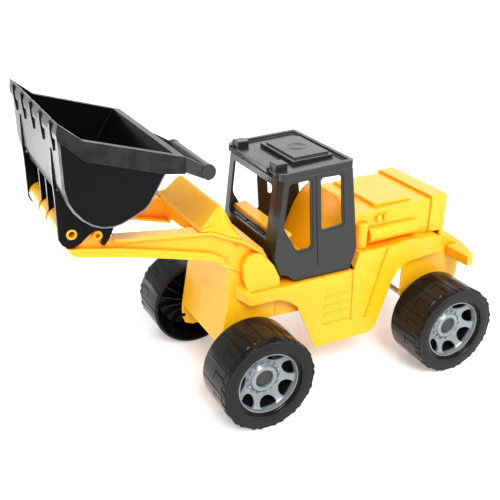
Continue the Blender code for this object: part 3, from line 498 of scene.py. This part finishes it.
def build_hub_cap(wheel):
    node = f"{wheel.label}_hub_cap"
    bm = bmesh.new()
    profile = [(10.7, 40.7), (10.7, 42.5), (10.3, 43.3), (9.4, 43.7), (6.0, 43.8), (2.0, 43.8)]
    rows = []
    for r, across in profile:
        rows.append([bm.verts.new(wheel.spot(r, across, 2.0 * math.pi * i / CAP_STEPS))
                     for i in range(CAP_STEPS)])
    for low, high in zip(rows, rows[1:]):
        for i in range(CAP_STEPS):
            j = (i + 1) % CAP_STEPS
            bm.faces.new((low[i], low[j], high[j], high[i]))
    bm.faces.new(rows[0])
    bm.faces.new(rows[-1])
    outward(bm)
    return finish_piece(f"{node}_moulding", bm, CAP_GREY, node, [node], 30.0)


for label in WHEELS:
    wheel = Wheel(label)
    build_tyre(wheel)
    build_rim(wheel)
    build_hub_cap(wheel)


# ---------------------------------------------------------------- moulded skins of the CAD pieces
SKINS = {                              # width of the rounded edges, mm
    YELLOW: {
        "front_frame": 0.7, "main_body": 0.7, "rear_frame": 0.7, "rear_bumper": 1.2, "hood": 0.8,
        "rear_cap": 0.9, "dashboard": 0.7, "arm_left": 0.6, "arm_right": 0.6,
        "nose_beam": 0.6, "bucket_pin": 0.4, "side_tank_left": 0.9,
        "side_tank_right": 0.9, "canister_left": 0.8, "canister_right": 0.8,
    },
    CAB_BLACK: {"cab_roof": 0.8, "lamp_left": 0.7, "lamp_right": 0.7, "bucket_handle": 0.8},
}
for material, widths in SKINS.items():
    for node, width in widths.items():
        skin(node, material, width)


BUCKET_SIDE_STEP = 4.0 * MM            # the rim band stands this far proud of the side walls
BUCKET_FILLET = 3.0 * MM
TOOTH_FOOT = 0.330                     # height of the CAD teeth's lower ends, m
TOOTH_RISE = 0.024                     # how much shorter the teeth are made here, m
PLATE_X = 0.271                        # everything on the front plate lies ahead of this, m
BAND_FOOT = 0.317                      # the rim's top faces lie above this, m
RIM_PAINTED_SHEEN = 0.36                       # EDGE_MARK on the rim's top and on the band's sides: painted highlight
BAND_PAINTED_SHEEN = 0.09
RING_RADII = (7.0 * MM, 11.5 * MM)     # rings on the roof hatch
RING_STEPS = 48
RING_RISE = 0.45                       # how far the rings stand up, mm


def shape_bucket(bm):
    """Short teeth, painted highlight on the rim band and the wide fillet from the side walls into the
    bottom.
    """
    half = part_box("bucket_shell")[1].y - BUCKET_SIDE_STEP
    for v in bm.verts:
        if abs(v.co.z - TOOTH_FOOT) < 1.0 * MM and v.co.x > PLATE_X:
            v.co.z += TOOTH_RISE
    mark = bm.loops.layers.float.get(EDGE_MARK) or bm.loops.layers.float.new(EDGE_MARK)
    # painted highlight: the rim's top faces and the band's sides take some of the pale worn colour
    for face in bm.faces:
        centre = face.calc_center_median()
        painted_sheen = 0.0
        if face.normal.z > 0.75 and centre.z > BAND_FOOT:
            painted_sheen = RIM_PAINTED_SHEEN
        elif abs(face.normal.y) > 0.9 and abs(centre.y) > half + 0.5 * MM:
            painted_sheen = BAND_PAINTED_SHEEN
        for loop in face.loops:
            loop[mark] = painted_sheen
    picked = [e for e in bm.edges if len(e.link_faces) == 2 and e.is_convex
              and all(abs(abs(v.co.y) - half) < 1e-4 for v in e.verts)
              and any(abs(f.normal.y) > 0.99 for f in e.link_faces)]
    round_edges(bm, BUCKET_FILLET, picked, 4)


def add_strip(bm, outline, low_y, high_y):
    """Closed bar with a side outline of (x, z) points in metres between two y planes."""
    add_block(bm, [(x, low_y, z) for x, z in outline], [(x, high_y, z) for x, z in outline])


def add_cowl(bm):
    """Black panel before the dashboard with two wiper arms on it."""
    dash_low, dash_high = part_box("dashboard")
    front = dash_high.x + 1.0 * MM
    top = dash_high.z - 4.2 * MM
    half = dash_high.y - 1.0 * MM
    add_strip(bm, [(front, top - 14.0 * MM), (front + 1.6 * MM, top - 14.0 * MM),
                   (front - 0.6 * MM, top), (front - 2.0 * MM, top)], -half, half)
    for y in (-0.56 * half, 0.22 * half):
        add_strip(bm, [(front + 1.0 * MM, top - 12.0 * MM), (front + 4.2 * MM, top - 12.0 * MM),
                       (front + 2.0 * MM, top - 1.0 * MM), (front - 0.8 * MM, top - 1.0 * MM)],
                  y, y + 3.4 * MM)
        add_strip(bm, [(front + 0.6 * MM, top - 3.6 * MM), (front + 3.2 * MM, top - 3.6 * MM),
                       (front + 2.6 * MM, top - 1.4 * MM), (front + 0.2 * MM, top - 1.4 * MM)],
                  y - 20.0 * MM, y + 20.0 * MM)
    bmesh.ops.recalc_face_normals(bm, faces=bm.faces)


def add_hatch_rings(bm):
    """Two low concentric rings that stand up from the hatch lid."""
    lid = max((f for f in bm.faces if f.normal.z > 0.9), key=lambda f: f.calc_center_median().z)
    centre, up = lid.calc_center_median(), lid.normal.copy()
    along = Vector((1.0, 0.0, 0.0)).cross(up).cross(up).normalized()
    across = up.cross(along)
    for radius in RING_RADII:
        rows = []
        for i in range(RING_STEPS):
            a = 2.0 * math.pi * i / RING_STEPS
            out = along * math.cos(a) + across * math.sin(a)
            rows.append([bm.verts.new(centre + out * (radius + du * MM) + up * dv * MM)
                         for du, dv in ((-0.7, -0.3), (0.7, -0.3), (0.35, RING_RISE), (-0.35, RING_RISE))])
        close_grid(bm, rows)
    bmesh.ops.recalc_face_normals(bm, faces=bm.faces)


skin("bucket_shell", BUCKET_BLACK, 0.8, before=shape_bucket)
skin("hump_cover", YELLOW, 1.4, angle=24.0)
skin("cab_shell", CAB_BLACK, 0.6, before=add_cowl)
skin("roof_hatch", CAB_BLACK, 0.5, before=add_hatch_rings)
for node in ("front_axle", "rear_axle", "lift_shaft"):
    frame["nodes"][node].data.materials.clear()
    frame["nodes"][node].data.materials.append(STEEL)


# ---------------------------------------------------------------- studio
def area_light(name, place, target, size, power, colour=(1.0, 1.0, 1.0)):
    data = bpy.data.lights.new(name, "AREA")
    data.shape = "RECTANGLE"
    data.size, data.size_y = size
    data.energy = power
    data.color = colour
    lamp = bpy.data.objects.new(name, data)
    bpy.context.scene.collection.objects.link(lamp)
    lamp.location = place
    lamp.rotation_euler = (Vector(target) - Vector(place)).to_track_quat("-Z", "Y").to_euler()
    lamp.visible_camera = False
    return lamp


FLOOR_HALF = 60.0                      # half the floor's side, m
OBJECT_MIDDLE = (0.0, 0.0, 0.15)


def build_floor():
    """Near-white floor that gives off a little light of its own."""
    bm = bmesh.new()
    bmesh.ops.create_grid(bm, x_segments=1, y_segments=1, size=FLOOR_HALF)
    mesh = bpy.data.meshes.new("studio_floor")
    bm.to_mesh(mesh)
    bm.free()
    floor = bpy.data.objects.new("studio_floor", mesh)
    bpy.context.scene.collection.objects.link(floor)
    mat, _, _, shader = new_material("floor_paper")
    shader.inputs["Base Color"].default_value = (0.93, 0.93, 0.93, 1.0)
    shader.inputs["Emission Color"].default_value = (1.0, 1.0, 1.0, 1.0)
    shader.inputs["Emission Strength"].default_value = 0.3
    shader.inputs["Roughness"].default_value = 0.75
    shader.inputs["Specular IOR Level"].default_value = 0.2
    mesh.materials.append(mat)


def build_studio():
    """White surroundings, sun and soft lights, a small card at the bucket and a warm light in the cab."""
    world = bpy.data.worlds.new("studio")
    bpy.context.scene.world = world
    world.use_nodes = True
    sky = world.node_tree.nodes["Background"]
    sky.inputs["Color"].default_value = (1.0, 1.0, 1.0, 1.0)
    sky.inputs["Strength"].default_value = 0.72
    bpy.context.scene.view_settings.view_transform = "Standard"
    sun = bpy.data.lights.new("key", "SUN")
    sun.energy = 2.5
    sun.angle = math.radians(26.0)
    key = bpy.data.objects.new("key", sun)
    bpy.context.scene.collection.objects.link(key)
    key.rotation_euler = Vector((-0.35, -1.7, -1.8)).to_track_quat("-Z", "Y").to_euler()
    area_light("fill", place=(-1.7, 0.9, 1.3), target=OBJECT_MIDDLE, size=(1.6, 1.6), power=12.0)
    card = area_light("low_card", place=(0.60, -0.62, 0.03), target=(0.27, 0.0, 0.34),
                      size=(0.34, 0.34), power=0.24)
    card.data.spread = math.radians(50.0)
    area_light("back", place=(-0.84, -1.6, 1.1), target=(0.0, 0.0, 0.25), size=(1.5, 0.9), power=5.5)
    area_light("cab_fill", place=(-0.005, 0.0, 0.262), target=(-0.09, 0.0, 0.20),
               size=(0.09, 0.025), power=0.05, colour=(1.0, 0.8, 0.4))
    build_floor()


CAMERA_PLACE = Vector((0.42633, 0.76520, 0.57303))
CAMERA_LOOK = Vector((-0.4218, -0.8005, -0.4258)).normalized()
CAMERA_ROLL = math.radians(0.9292)
LENS = 54.53
SENSOR = 36.0


def build_camera():
    data = bpy.data.cameras.new("camera")
    data.lens = LENS
    data.sensor_width = SENSOR
    data.clip_start = 0.01
    camera = bpy.data.objects.new("camera", data)
    bpy.context.scene.collection.objects.link(camera)
    right = CAMERA_LOOK.cross(Vector((0.0, 0.0, 1.0))).normalized()
    up = right.cross(CAMERA_LOOK)
    right, up = (right * math.cos(CAMERA_ROLL) + up * math.sin(CAMERA_ROLL),
                 up * math.cos(CAMERA_ROLL) - right * math.sin(CAMERA_ROLL))
    turn = Matrix((right, up, -CAMERA_LOOK)).transposed()
    camera.matrix_world = Matrix.Translation(CAMERA_PLACE) @ turn.to_4x4()
    bpy.context.scene.camera = camera


build_studio()
build_camera()
